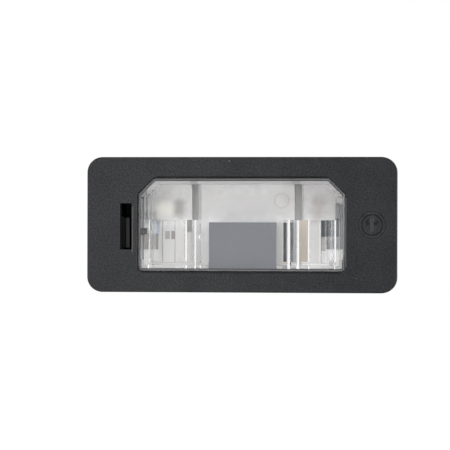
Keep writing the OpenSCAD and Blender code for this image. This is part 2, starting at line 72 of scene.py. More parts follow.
# Rear housing
# One injection moulding in black glass-filled plastic. It carries the latch
# arm, the hook, the ribs and the plug socket, and is welded to the face.
SPECKLE_TO_GRAIN = 0.55
DUST_OUTLINE_SCALE = 2600.0
DUST_OUTLINE_DEPTH = 0.06
EDGE_STARTS = 0.995
EDGE_FULL = 0.88
DUST_GREY = (0.16, 0.16, 0.165)
SPECKLE_CONTRAST = (0.3, 0.7)
TONE_CONTRAST = (0.35, 0.65)


def add_node(tree, kind, **values):
    """A new node with its settings and the values of its input sockets."""
    made = tree.nodes.new("ShaderNode" + kind)
    for name, value in values.items():
        if hasattr(made, name):
            setattr(made, name, value)
        else:
            made.inputs[name.replace("_", " ")].default_value = value
    return made


def wire(tree, source, target):
    """Links an output to an input. Each is a (node, socket) pair."""
    tree.links.new(source[0].outputs[source[1]], target[0].inputs[target[1]])


def effect(name, inputs, outputs):
    """An empty node group with these float inputs and these outputs."""
    group = bpy.data.node_groups.new(name, "ShaderNodeTree")
    for label, value in inputs.items():
        socket = group.interface.new_socket(
            label, in_out="INPUT", socket_type="NodeSocketFloat")
        socket.default_value = value
    for label, kind in outputs.items():
        group.interface.new_socket(
            label, in_out="OUTPUT", socket_type="NodeSocket" + kind)
    return group, group.nodes.new("NodeGroupInput"), group.nodes.new("NodeGroupOutput")


def moulded_grain_group():
    """A moulding's spark-eroded grain, fine speckle, cloudy tone and sparse dust."""
    group, given, result = effect(
        "moulded grain",
        {"Grain Scale": 5000.0, "Cloud Scale": 90.0,
         "Dust Scale": 160.0, "Dust Size": 0.05},
        {"Height": "Float", "Speckle": "Float", "Tone": "Float", "Dust": "Float"})
    place = add_node(group, "TexCoord")
    grain = add_node(group, "TexNoise", Detail=3.0, Roughness=0.6)
    speckle = add_node(group, "TexNoise", Detail=2.0, Roughness=0.7)
    coarser = add_node(group, "Math", operation="MULTIPLY")
    coarser.inputs[1].default_value = SPECKLE_TO_GRAIN
    cloud = add_node(group, "TexNoise", Detail=5.0, Roughness=0.65)
    dots = add_node(group, "TexVoronoi")
    ragged = add_node(group, "TexNoise", Scale=DUST_OUTLINE_SCALE, Detail=1.0)
    fuzz = add_node(group, "Math", operation="MULTIPLY_ADD")
    fuzz.inputs[1].default_value = DUST_OUTLINE_DEPTH
    fuzz.inputs[2].default_value = -DUST_OUTLINE_DEPTH / 2
    size = add_node(group, "Math", operation="ADD")
    mask = add_node(group, "Math", operation="LESS_THAN")
    for texture in (grain, speckle, cloud, dots, ragged):
        wire(group, (place, "Object"), (texture, "Vector"))
    wire(group, (given, "Grain Scale"), (grain, "Scale"))
    wire(group, (given, "Grain Scale"), (coarser, 0))
    wire(group, (coarser, 0), (speckle, "Scale"))
    wire(group, (given, "Cloud Scale"), (cloud, "Scale"))
    wire(group, (given, "Dust Scale"), (dots, "Scale"))
    wire(group, (ragged, "Fac"), (fuzz, 0))
    wire(group, (fuzz, 0), (size, 0))
    wire(group, (given, "Dust Size"), (size, 1))
    wire(group, (dots, "Distance"), (mask, 0))
    wire(group, (size, 0), (mask, 1))
    wire(group, (grain, "Fac"), (result, "Height"))
    wire(group, (speckle, "Fac"), (result, "Speckle"))
    wire(group, (cloud, "Fac"), (result, "Tone"))
    wire(group, (mask, 0), (result, "Dust"))
    return group


def rounded_edge_group():
    """Softened edges: the normal of a small round and a mask of where it runs."""
    group, given, result = effect(
        "rounded edge", {"Radius": 0.0002}, {"Normal": "Vector", "Edge": "Float"})
    round_edge = add_node(group, "Bevel", samples=6)
    flat = add_node(group, "NewGeometry")
    along = add_node(group, "VectorMath", operation="DOT_PRODUCT")
    spread = add_node(group, "MapRange", From_Min=EDGE_STARTS, From_Max=EDGE_FULL)
    wire(group, (given, "Radius"), (round_edge, "Radius"))
    wire(group, (round_edge, "Normal"), (along, 0))
    wire(group, (flat, "Normal"), (along, 1))
    wire(group, (along, "Value"), (spread, "Value"))
    wire(group, (round_edge, "Normal"), (result, "Normal"))
    wire(group, (spread, "Result"), (result, "Edge"))
    return group


moulded_grain = moulded_grain_group()
rounded_edge = rounded_edge_group()


def place_group(tree, group, **values):
    """A node group placed in a material with its own values."""
    placed = tree.nodes.new("ShaderNodeGroup")
    placed.node_tree = group
    for name, value in values.items():
        placed.inputs[name.replace("_", " ")].default_value = value
    return placed


def blend_colour(tree, low, high):
    """A colour mix between two colours. Its factor is still to be wired."""
    mix = add_node(tree, "Mix", data_type="RGBA")
    mix.inputs["A"].default_value = (*low, 1.0)
    mix.inputs["B"].default_value = (*high, 1.0)
    return mix


def moulded_plastic(name, low, high, edge, rough, grain, depth, speckle=0.0, dust=0.0,
                    specular=0.5, edge_radius=0.00018):
    """A moulding's finish: tone between low and high, lighter edges from wear and partly
    a painted highlight, grain and dust.
    """
    finish = bpy.data.materials.new(name)
    finish.use_nodes = True
    tree = finish.node_tree
    shader = tree.nodes["Principled BSDF"]
    shader.inputs["Specular IOR Level"].default_value = specular
    surface = place_group(tree, moulded_grain, Grain_Scale=grain, Dust_Size=dust)
    corner = place_group(tree, rounded_edge, Radius=edge_radius)
    tone = blend_colour(tree, low, high)
    rubbed_and_glint = blend_colour(tree, (0, 0, 0), edge)
    dusty = blend_colour(tree, (0, 0, 0), DUST_GREY)
    grainy = add_node(tree, "Mix", data_type="RGBA", blend_type="MULTIPLY")
    grainy.inputs["Factor"].default_value = 1.0
    flecks = add_node(
        tree, "MapRange", From_Min=SPECKLE_CONTRAST[0], From_Max=SPECKLE_CONTRAST[1],
        To_Min=1.0 - speckle, To_Max=1.0 + speckle)
    gloss = add_node(tree, "MapRange", To_Min=rough[0], To_Max=rough[1])
    bump = add_node(tree, "Bump", Strength=1.0, Distance=depth)
    contrast = add_node(
        tree, "MapRange", From_Min=TONE_CONTRAST[0], From_Max=TONE_CONTRAST[1])
    worn = add_node(tree, "Math", operation="MULTIPLY")
    wire(tree, (surface, "Tone"), (contrast, "Value"))
    wire(tree, (contrast, "Result"), (tone, "Factor"))
    wire(tree, (corner, "Edge"), (worn, 0))
    wire(tree, (surface, "Tone"), (worn, 1))
    wire(tree, (worn, 0), (rubbed_and_glint, "Factor"))
    wire(tree, (surface, "Speckle"), (flecks, "Value"))
    wire(tree, (flecks, "Result"), (grainy, "B"))
    wire(tree, (tone, "Result"), (grainy, "A"))
    wire(tree, (grainy, "Result"), (rubbed_and_glint, "A"))
    wire(tree, (rubbed_and_glint, "Result"), (dusty, "A"))
    wire(tree, (surface, "Dust"), (dusty, "Factor"))
    wire(tree, (dusty, "Result"), (shader, "Base Color"))
    wire(tree, (surface, "Tone"), (gloss, "Value"))
    wire(tree, (gloss, "Result"), (shader, "Roughness"))
    wire(tree, (surface, "Height"), (bump, "Height"))
    wire(tree, (corner, "Normal"), (bump, "Normal"))
    wire(tree, (bump, "Normal"), (shader, "Normal"))
    return finish


def dress(node, finish):
    """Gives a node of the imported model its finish."""
    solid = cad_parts[node]
    if not solid.material_slots:
        solid.data.materials.append(finish)
    for held in solid.material_slots:
        held.material = finish


PATCH_OUTLINE_SCALE = 550.0
MIDDLE_OF_NOISE = 0.5


def soft_patch_group():
    """Mask of a patch seen from in front: full in its core, fading over its soft rim.

    It covers only what lies between its near and its far depth.
    """
    group, given, result = effect(
        "soft patch",
        {"Middle X": 0.0, "Middle Z": 0.0, "Half X": 0.001, "Half Z": 0.001,
         "Softness": 0.001, "Near": -1.0, "Far": 1.0},
        {"Mask": "Float"})
    place = add_node(group, "TexCoord")
    apart = add_node(group, "SeparateXYZ")
    beyond = add_node(group, "CombineXYZ")
    distance = add_node(group, "VectorMath", operation="LENGTH")
    ragged = add_node(group, "TexNoise", Scale=PATCH_OUTLINE_SCALE, Detail=3.0)
    sway = add_node(group, "Math", operation="SUBTRACT")
    sway.inputs[1].default_value = MIDDLE_OF_NOISE
    moved = add_node(group, "Math", operation="MULTIPLY_ADD")
    fade = add_node(
        group, "MapRange", interpolation_type="SMOOTHSTEP", To_Min=1.0, To_Max=0.0)
    wire(group, (place, "Object"), (apart, "Vector"))
    wire(group, (place, "Object"), (ragged, "Vector"))
    wire(group, (ragged, "Fac"), (sway, 0))
    wire(group, (sway, 0), (moved, 0))
    wire(group, (given, "Softness"), (moved, 1))
    for axis in "XZ":
        off = add_node(group, "Math", operation="SUBTRACT")
        size = add_node(group, "Math", operation="ABSOLUTE")
        outside = add_node(group, "Math", operation="SUBTRACT")
        only = add_node(group, "Math", operation="MAXIMUM")
        only.inputs[1].default_value = 0.0
        wire(group, (apart, axis), (off, 0))
        wire(group, (given, "Middle " + axis), (off, 1))
        wire(group, (off, 0), (size, 0))
        wire(group, (size, 0), (outside, 0))
        wire(group, (given, "Half " + axis), (outside, 1))
        wire(group, (outside, 0), (only, 0))
        wire(group, (only, 0), (beyond, axis))
    wire(group, (beyond, "Vector"), (distance, 0))
    wire(group, (distance, "Value"), (moved, 2))
    wire(group, (moved, 0), (fade, "Value"))
    wire(group, (given, "Softness"), (fade, "From Max"))
    past = add_node(group, "Math", operation="GREATER_THAN")
    short = add_node(group, "Math", operation="LESS_THAN")
    between = add_node(group, "Math", operation="MULTIPLY")
    mask = add_node(group, "Math", operation="MULTIPLY")
    for limit, name in ((past, "Near"), (short, "Far")):
        wire(group, (apart, "Y"), (limit, 0))
        wire(group, (given, name), (limit, 1))
    wire(group, (past, 0), (between, 0))
    wire(group, (short, 0), (between, 1))
    wire(group, (fade, "Result"), (mask, 0))
    wire(group, (between, 0), (mask, 1))
    wire(group, (mask, 0), (result, "Mask"))
    return group


soft_patch = soft_patch_group()
ANY_DEPTH = (-1000.0, 1000.0)
MM_PER_METRE = 1000


def patch_mask(tree, middle, half, softness, depth=ANY_DEPTH):
    """The mask of a patch whose sizes are given in millimetres."""
    return place_group(
        tree, soft_patch,
        Middle_X=middle[0] / MM_PER_METRE, Middle_Z=middle[1] / MM_PER_METRE,
        Half_X=half[0] / MM_PER_METRE, Half_Z=half[1] / MM_PER_METRE,
        Softness=softness / MM_PER_METRE,
        Near=depth[0] / MM_PER_METRE, Far=depth[1] / MM_PER_METRE)


def paint_patches(finish, patches, blend="MULTIPLY"):
    """Tints the base colour in patches of middle, half size, softness, tint and depth:
    mostly painted light and shade.
    """
    tree = finish.node_tree
    target = tree.nodes["Principled BSDF"].inputs["Base Color"]
    for middle, half, softness, tint, *depth in patches:
        colour = target.links[0].from_socket
        tinted = add_node(tree, "Mix", data_type="RGBA", blend_type=blend)
        tinted.inputs["B"].default_value = (*tint, 1.0)
        mask = patch_mask(tree, middle, half, softness, *depth)
        wire(tree, (mask, "Mask"), (tinted, "Factor"))
        tree.links.new(colour, tinted.inputs["A"])
        tree.links.new(tinted.outputs["Result"], target)
    return finish


HOUSING_BLACK = (0.010, 0.010, 0.011)
HOUSING_GREY = (0.016, 0.016, 0.017)
HOUSING_EDGE = (0.04, 0.04, 0.042)
WALL_X = 27.1
INSIDE = (-3.0, 8.0)
LATCH_ARM_DEPTH = (-3.0, 2.0)
INNER_PAINTED_LIGHT = (
    # Painted light on the inner walls beside the tray, paler where they show through the
    # lens
    ((-WALL_X, 3.0), (0.12, 4.0), 0.05, (0.36, 0.36, 0.37), INSIDE),
    ((-WALL_X, -6.0), (0.12, 3.2), 0.05, (0.55, 0.55, 0.56), INSIDE),
    ((WALL_X, -0.9), (0.12, 8.4), 0.05, (0.28, 0.28, 0.29), INSIDE),
    # Painted light on the front of the latch arm, which shows in the release slot
    ((-34.4, 0.0), (1.6, 8.0), 0.5, (0.045, 0.046, 0.048), LATCH_ARM_DEPTH),
)
dress("rear_housing", paint_patches(moulded_plastic(
    "housing plastic", HOUSING_BLACK, HOUSING_GREY, HOUSING_EDGE,
    rough=(0.38, 0.52), grain=3500.0, depth=0.00001), INNER_PAINTED_LIGHT, "MIX"))


# Terminal pins
# Two stamped brass blades with a tin coat, pressed through the housing floor
# and soldered to the board.
PIN_TIN = (0.72, 0.70, 0.64)
PIN_BRASS = (0.80, 0.72, 0.52)
DRAWN_ALONG_Y = (9000.0, 120.0, 9000.0)


def tinned_brass():
    """Tin over brass, with drawing lines along the pin and a dull patchy bloom."""
    finish = bpy.data.materials.new("tinned brass")
    finish.use_nodes = True
    tree = finish.node_tree
    shader = tree.nodes["Principled BSDF"]
    shader.inputs["Metallic"].default_value = 1.0
    place = add_node(tree, "TexCoord")
    stretch = add_node(tree, "Mapping")
    stretch.inputs["Scale"].default_value = DRAWN_ALONG_Y
    lines = add_node(tree, "TexNoise", Scale=1.0, Detail=2.0)
    bloom = add_node(tree, "TexNoise", Scale=700.0, Detail=4.0)
    tone = blend_colour(tree, PIN_TIN, PIN_BRASS)
    gloss = add_node(tree, "MapRange", To_Min=0.18, To_Max=0.42)
    bump = add_node(tree, "Bump", Strength=0.6, Distance=0.000006)
    wire(tree, (place, "Object"), (stretch, "Vector"))
    wire(tree, (stretch, "Vector"), (lines, "Vector"))
    wire(tree, (place, "Object"), (bloom, "Vector"))
    wire(tree, (bloom, "Fac"), (tone, "Factor"))
    wire(tree, (tone, "Result"), (shader, "Base Color"))
    wire(tree, (bloom, "Fac"), (gloss, "Value"))
    wire(tree, (gloss, "Result"), (shader, "Roughness"))
    wire(tree, (lines, "Fac"), (bump, "Height"))
    wire(tree, (bump, "Normal"), (shader, "Normal"))
    return finish


pin_finish = tinned_brass()
for pin in ("terminal_pin_plus", "terminal_pin_earth"):
    dress(pin, pin_finish)


# Circuit board
# Glass-fibre laminate with white solder mask, seated on four posts of the
# housing. It carries the light sources in front and the driver parts behind.
MASK_DULL = (0.72, 0.73, 0.70)
MASK_WHITE = (0.80, 0.81, 0.78)
LAMINATE_EDGE = (0.60, 0.58, 0.42)
# Painted shade on the board behind the right end of the tray
BOARD_PAINTED_SHADE = (
    ((25.4, -0.7), (2.2, 2.4), 0.1, (0.25, 0.265, 0.28)),
)
dress("circuit_board", paint_patches(moulded_plastic(
    "white board", MASK_DULL, MASK_WHITE, LAMINATE_EDGE,
    rough=(0.28, 0.40), grain=2500.0, depth=0.000008), BOARD_PAINTED_SHADE))


# Board parts
# Resistors, capacitors, diodes and the driver chip: ceramic or moulded bodies
# with tinned ends or legs, soldered to the back of the board.
SOLDER_TIN = (0.74, 0.74, 0.75)
RESISTOR_BLACK = (0.02, 0.02, 0.024)
CHIP_BLACK = (0.016, 0.016, 0.017)
CAPACITOR_TAN = (0.28, 0.16, 0.07)
BODY_MOTTLE = 1.5
RESISTOR_COUNT = 4
ALONG_X = 0
ALONG_Z = 2


def board_part(name, node, body, tin_from, axis):
    """A body colour with tinned metal beyond tin_from of its half length along axis."""
    low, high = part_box(node)
    middle = [(a + b) / 2 for a, b in zip(low, high)]
    half = (high[axis] - low[axis]) / 2
    finish = bpy.data.materials.new(name)
    finish.use_nodes = True
    tree = finish.node_tree
    shader = tree.nodes["Principled BSDF"]
    place = add_node(tree, "TexCoord")
    apart = add_node(tree, "SeparateXYZ")
    off = add_node(tree, "Math", operation="SUBTRACT")
    off.inputs[1].default_value = middle[axis]
    size = add_node(tree, "Math", operation="ABSOLUTE")
    tin = add_node(tree, "Math", operation="GREATER_THAN")
    tin.inputs[1].default_value = half * tin_from
    speckle = add_node(tree, "TexNoise", Scale=1800.0, Detail=4.0)
    body_tone = blend_colour(tree, body, tuple(BODY_MOTTLE * part for part in body))
    tone = blend_colour(tree, (0, 0, 0), SOLDER_TIN)
    gloss = add_node(tree, "MapRange", To_Min=0.55, To_Max=0.25)
    bump = add_node(tree, "Bump", Strength=0.5, Distance=0.000015)
    wire(tree, (place, "Object"), (apart, "Vector"))
    wire(tree, (apart, "XYZ"[axis]), (off, 0))
    wire(tree, (off, 0), (size, 0))
    wire(tree, (size, 0), (tin, 0))
    wire(tree, (place, "Object"), (speckle, "Vector"))
    wire(tree, (speckle, "Fac"), (body_tone, "Factor"))
    wire(tree, (body_tone, "Result"), (tone, "A"))
    wire(tree, (tin, 0), (tone, "Factor"))
    wire(tree, (tin, 0), (shader, "Metallic"))
    wire(tree, (tone, "Result"), (shader, "Base Color"))
    wire(tree, (tin, 0), (gloss, "Value"))
    wire(tree, (gloss, "Result"), (shader, "Roughness"))
    wire(tree, (speckle, "Fac"), (bump, "Height"))
    wire(tree, (bump, "Normal"), (shader, "Normal"))
    return finish


for number in range(1, RESISTOR_COUNT + 1):
    resistor = f"load_resistor_{number}"
    dress(resistor, board_part(
        f"resistor coat {number}", resistor, RESISTOR_BLACK, tin_from=0.78, axis=ALONG_X))
for diode in ("polarity_diode", "surge_diode"):
    dress(diode, board_part(
        f"{diode} body", diode, CHIP_BLACK, tin_from=0.83, axis=ALONG_X))
for capacitor in ("supply_capacitor", "driver_capacitor"):
    dress(capacitor, board_part(
        f"{capacitor} body", capacitor, CAPACITOR_TAN, tin_from=0.70, axis=ALONG_X))
dress("led_driver", board_part(
    "driver body", "led_driver", CHIP_BLACK, tin_from=0.72, axis=ALONG_Z))


# Light sources
# Two white moulded packages with tinned feet, soldered to the front of the
# board in the side compartments. Each has a cup of pale yellow gel.
PACKAGE_WHITE = (0.62, 0.61, 0.52)
GEL_RADIUS = 0.00108
GEL_RISE = 0.00025
GEL_BELOW_RIM = 0.0003
GEL_DEEP = (0.78, 0.66, 0.16)
GEL_YELLOW = (0.84, 0.74, 0.26)
GEL_EDGE = (0.9, 0.85, 0.5)
for side in ("left", "right"):
    dress(f"led_{side}", board_part(
        f"led package {side}", f"led_{side}", PACKAGE_WHITE, tin_from=0.86, axis=ALONG_X))
    led_low, led_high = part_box(f"led_{side}")
    led_middle = [(a + b) / 2 for a, b in zip(led_low, led_high)]
    gel_mesh = bmesh.new()
    bmesh.ops.create_uvsphere(
        gel_mesh, u_segments=32, v_segments=16, radius=GEL_RADIUS)
    bmesh.ops.bisect_plane(
        gel_mesh, geom=gel_mesh.verts[:] + gel_mesh.edges[:] + gel_mesh.faces[:],
        plane_co=(0, 0, 0), plane_no=(0, 1, 0), clear_outer=True)
    bmesh.ops.holes_fill(gel_mesh, edges=gel_mesh.edges[:])
    bmesh.ops.scale(gel_mesh, vec=(1, GEL_RISE / GEL_RADIUS, 1), verts=gel_mesh.verts)
    bmesh.ops.translate(
        gel_mesh, vec=(led_middle[0], led_low[1] + GEL_BELOW_RIM, led_middle[2]),
        verts=gel_mesh.verts)
    bmesh.ops.recalc_face_normals(gel_mesh, faces=gel_mesh.faces)
    gel_data = bpy.data.meshes.new(f"led_gel_{side}")
    gel_mesh.to_mesh(gel_data)
    gel_mesh.free()
    for face in gel_data.polygons:
        face.use_smooth = True
    gel = bpy.data.objects.new(f"led_gel_{side}", gel_data)
    bpy.context.collection.objects.link(gel)
    gel_data.materials.append(moulded_plastic(
        f"led gel {side}", GEL_DEEP, GEL_YELLOW, GEL_EDGE,
        rough=(0.12, 0.2), grain=2500.0, depth=0.000004))
    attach(gel, "root")


# Light tray
# One satin white moulding behind the lens: a raised middle, two deeper side
# compartments with a light window each, and legs that stand on the board.
TRAY_CREAM = (0.91, 0.90, 0.89)
TRAY_WHITE = (0.94, 0.93, 0.92)
TRAY_EDGE = (0.92, 0.91, 0.90)
PAINTED_GLOW_STRENGTH = 1.0


def add_painted_glow(finish, middle, half, softness, tint):
    """Adds a painted glow, as emission, on the milky skin in front of a light source."""
    tree = finish.node_tree
    shader = tree.nodes["Principled BSDF"]
    lit = blend_colour(tree, (0, 0, 0), tint)
    wire(tree, (patch_mask(tree, middle, half, softness), "Mask"), (lit, "Factor"))
    wire(tree, (lit, "Result"), (shader, "Emission Color"))
    shader.inputs["Emission Strength"].default_value = PAINTED_GLOW_STRENGTH
    return finish


WALL_FRONT = (-1.2, -0.95)
TRAY_PAINTED_SHADE_AND_LIGHT = (
    # Painted shade on the rim under the lens, deeper along its top, then beside the two
    # tall slots
    ((0.0, 0.0), (40.0, 20.0), 1.0, (0.60, 0.59, 0.59), WALL_FRONT),
    ((0.0, 12.0), (40.0, 1.0), 0.5, (0.90, 0.90, 0.90), WALL_FRONT),
    ((-12.85, 7.0), (0.85, 5.5), 0.35, (0.66, 0.66, 0.67)),
    ((14.55, 7.0), (1.0, 5.5), 0.3, (0.70, 0.69, 0.71)),
    # Shade across the upper half, round the grey block and in the compartments
    ((0.0, 5.2), (30.0, 1.5), 4.5, (0.76, 0.75, 0.745)),
    ((0.0, -8.0), (12.0, 6.5), 3.0, (0.95, 0.945, 0.94)),
    ((-18.0, -8.0), (5.5, 6.5), 2.0, (0.86, 0.855, 0.85)),
    # Darker patches beside the light sources, and painted shade above the right one
    ((-18.0, 4.4), (0.2, 1.2), 2.3, (0.55, 0.54, 0.52)),
    ((19.6, 4.4), (0.3, 1.4), 3.0, (0.76, 0.73, 0.72)),
    ((19.0, 9.0), (7.0, 2.0), 2.5, (0.90, 0.89, 0.89)),
    # A beige strip, partly lightened as painted light, and painted-shade squares seen
    # through the prism blocks
    ((11.9, -4.5), (1.2, 5.8), 0.1, (1.08, 0.97, 0.84)),
    ((-21.4, -2.8), (0.6, 1.0), 0.12, (0.56, 0.54, 0.52)),
    ((-19.9, -2.8), (0.35, 1.0), 0.2, (0.42, 0.37, 0.35)),
    ((-26.5, -4.5), (1.8, 2.1), 0.1, (0.45, 0.43, 0.42)),
    # Painted shade on the outer ends of the compartments, and one more painted-shade
    # square on the right
    ((-27.2, 5.6), (1.75, 4.2), 0.25, (0.48, 0.49, 0.50)),
    ((-25.3, 1.9), (0.5, 0.9), 1.4, (0.70, 0.71, 0.72)),
    ((-26.0, -0.6), (1.4, 1.3), 0.4, (0.80, 0.82, 0.81)),
    ((27.6, -0.5), (1.5, 5.8), 0.3, (0.30, 0.32, 0.34)),
    ((23.5, -5.1), (0.6, 1.8), 0.1, (0.62, 0.60, 0.59)),
)
tray_finish = paint_patches(moulded_plastic(
    "tray plastic", TRAY_CREAM, TRAY_WHITE, TRAY_EDGE,
    rough=(0.34, 0.46), grain=1500.0, depth=0.000006), TRAY_PAINTED_SHADE_AND_LIGHT)
# A painted glow on the tray in front of the left light source, made as emission
dress("light_tray", add_painted_glow(
    tray_finish, middle=(-21.8, 4.2), half=(0.9, 0.5), softness=2.4,
    tint=(0.18, 0.18, 0.13)))


# Shade block
# A smooth mid-grey cap that stands on the tray between the prism blocks and
# keeps the plate's middle from being lit twice.
SHADE_GREY = (0.134, 0.141, 0.159)
SHADE_LIGHT = (0.148, 0.155, 0.174)
SHADE_EDGE = (0.22, 0.23, 0.25)
BEHIND_ITS_FRONT = (-0.85, 100.0)
# Painted shade on the block's sides, behind its front face
BLOCK_SIDES_PAINTED_SHADE = (
    ((0.0, 0.0), (20.0, 20.0), 1.0, (0.7, 0.7, 0.7), BEHIND_ITS_FRONT),
)
dress("shade_block", paint_patches(moulded_plastic(
    "shade plastic", SHADE_GREY, SHADE_LIGHT, SHADE_EDGE,
    rough=(0.42, 0.52), grain=1500.0, depth=0.000005), BLOCK_SIDES_PAINTED_SHADE))


# Lens bead
# A thin bead of sealant, run round the window ledge before the lens is pressed
# in. It is milky grey along the lens with painted light on its right side, and
# its outer edge stays dark as painted shade.
SEALANT_DARK = (0.03, 0.03, 0.03)
SEALANT_GREY = (0.06, 0.06, 0.06)
SEALANT_EDGE = (0.34, 0.34, 0.35)
BEAD_MILK_AND_PAINTED_LIGHT = (
    ((0.0, 0.0), (30.0, 12.15), 0.15, (0.23, 0.23, 0.24)),
    # Painted light along the bead's right side
    ((28.0, 0.0), (0.6, 8.0), 0.8, (0.42, 0.42, 0.43)),
)
dress("lens_bead", paint_patches(moulded_plastic(
    "sealant", SEALANT_DARK, SEALANT_GREY, SEALANT_EDGE,
    rough=(0.35, 0.5), grain=1200.0, depth=0.00002), BEAD_MILK_AND_PAINTED_LIGHT, "MIX"))


# Lens
# One clear polished moulding, pressed into the sealant on the window ledge. Its
# two ribbed prism blocks bend the light along the number plate.
LENS_IOR = 1.58
LENS_COOL = (0.95, 0.96, 0.97)
LENS_CLEAR = (0.97, 0.98, 0.99)
UNTINTED = (1.0, 1.0, 1.0, 1.0)


def clear_plastic(painted_shade, behind_plate):
    """Clear lens plastic. Light from the lamps goes straight through to the tray."""
    finish = bpy.data.materials.new("clear lens plastic")
    finish.use_nodes = True
    tree = finish.node_tree
    shader = tree.nodes["Principled BSDF"]
    shader.inputs["Transmission Weight"].default_value = 1.0
    shader.inputs["IOR"].default_value = LENS_IOR
    place = add_node(tree, "TexCoord")
    flow = add_node(tree, "TexNoise", Scale=140.0, Detail=2.0, Distortion=0.6)
    haze = add_node(tree, "TexNoise", Scale=420.0, Detail=4.0)
    gloss = add_node(
        tree, "MapRange", From_Min=0.35, From_Max=0.7, To_Min=0.0, To_Max=0.02)
    bump = add_node(tree, "Bump", Strength=0.2, Distance=0.00001)
    clear = blend_colour(tree, LENS_COOL, LENS_CLEAR)
    wire(tree, (haze, "Fac"), (clear, "Factor"))
    wire(tree, (clear, "Result"), (shader, "Base Color"))
    # Lines of painted shade on the ribs, behind the plate's front
    for middle, half, softness, tint in painted_shade:
        line = blend_colour(tree, (0, 0, 0), tint)
        mask = patch_mask(tree, middle, half, softness, behind_plate)
        wire(tree, (mask, "Mask"), (line, "Factor"))
        tree.links.new(shader.inputs["Base Color"].links[0].from_socket, line.inputs["A"])
        wire(tree, (line, "Result"), (shader, "Base Color"))
    path = add_node(tree, "LightPath")
    lamplight = add_node(tree, "Math", operation="MAXIMUM")
    through = add_node(tree, "BsdfTransparent")
    through.inputs["Color"].default_value = UNTINTED
    either = add_node(tree, "MixShader")
    out = tree.nodes["Material Output"]
    wire(tree, (place, "Object"), (flow, "Vector"))
    wire(tree, (place, "Object"), (haze, "Vector"))
    wire(tree, (haze, "Fac"), (gloss, "Value"))
    wire(tree, (gloss, "Result"), (shader, "Roughness"))
    wire(tree, (flow, "Fac"), (bump, "Height"))
    wire(tree, (bump, "Normal"), (shader, "Normal"))
    wire(tree, (path, "Is Shadow Ray"), (lamplight, 0))
    wire(tree, (path, "Is Diffuse Ray"), (lamplight, 1))
    wire(tree, (lamplight, 0), (either, 0))
    wire(tree, (shader, "BSDF"), (either, 1))
    wire(tree, (through, "BSDF"), (either, 2))
    wire(tree, (either, "Shader"), (out, "Surface"))
    return finish


LINE_DARK = (0.25, 0.25, 0.27)
LINE_SOFT = (0.55, 0.55, 0.57)
BLOCK_X = 18.0
BLOCK_HALF_X = 6.9
BLOCK_Z = -4.4
BLOCK_HALF_Z = 5.7
BLOCK_TOP = 1.2
BLOCK_BOTTOM = -10.15
BEHIND_PLATE = (-1.0, 100.0)
RIB_PAINTED_SHADE = (
    # Painted shade: dark valleys between the ribs, and the dim inner facets of the blocks
    ((-17.9, BLOCK_Z), (0.04, BLOCK_HALF_Z), 0.16, LINE_DARK),
    ((-21.25, BLOCK_Z), (0.04, BLOCK_HALF_Z), 0.16, LINE_DARK),
    ((21.25, BLOCK_Z), (0.04, BLOCK_HALF_Z), 0.16, LINE_DARK),
    ((-11.1, BLOCK_Z), (0.1, BLOCK_HALF_Z), 0.12, (0.03, 0.03, 0.03)),
    ((14.15, BLOCK_Z), (0.45, BLOCK_HALF_Z), 0.3, (0.42, 0.43, 0.46)),
    ((-24.45, -0.2), (0.05, 1.3), 0.15, LINE_DARK),
    # Painted shade along the top and bottom edges of the prism blocks, then on the upper
    # rim of the lens
    ((-BLOCK_X, BLOCK_TOP), (BLOCK_HALF_X, 0.05), 0.1, LINE_SOFT),
    ((BLOCK_X, BLOCK_TOP), (BLOCK_HALF_X, 0.05), 0.1, LINE_SOFT),
    ((-BLOCK_X, BLOCK_BOTTOM), (BLOCK_HALF_X, 0.03), 0.1, LINE_SOFT),
    ((BLOCK_X, BLOCK_BOTTOM), (BLOCK_HALF_X, 0.03), 0.1, LINE_SOFT),
    ((0.0, 10.66), (24.0, 0.03), 0.12, LINE_SOFT),
    ((0.0, 11.0), (24.0, 0.4), 0.2, (0.84, 0.83, 0.83)),
    # Painted shade on one facet in each block, and a faint blue tint streak in the left
    # one
    ((-16.5, BLOCK_Z), (1.25, BLOCK_HALF_Z), 0.1, (0.72, 0.715, 0.71)),
    ((19.3, BLOCK_Z), (1.4, BLOCK_HALF_Z), 0.1, (0.68, 0.67, 0.66)),
    ((-22.4, -1.2), (0.15, 1.6), 0.5, (0.60, 0.70, 1.0)),
)
dress("lens", clear_plastic(RIB_PAINTED_SHADE, BEHIND_PLATE))


# Front frame
# The black face moulding, with a fine spark-eroded grain. It has the window for
# the lens, the release slot and the round mould mark, and seats on the panel.
FACE_BLACK = (0.028, 0.029, 0.031)
FACE_DARK_GREY = (0.036, 0.037, 0.039)
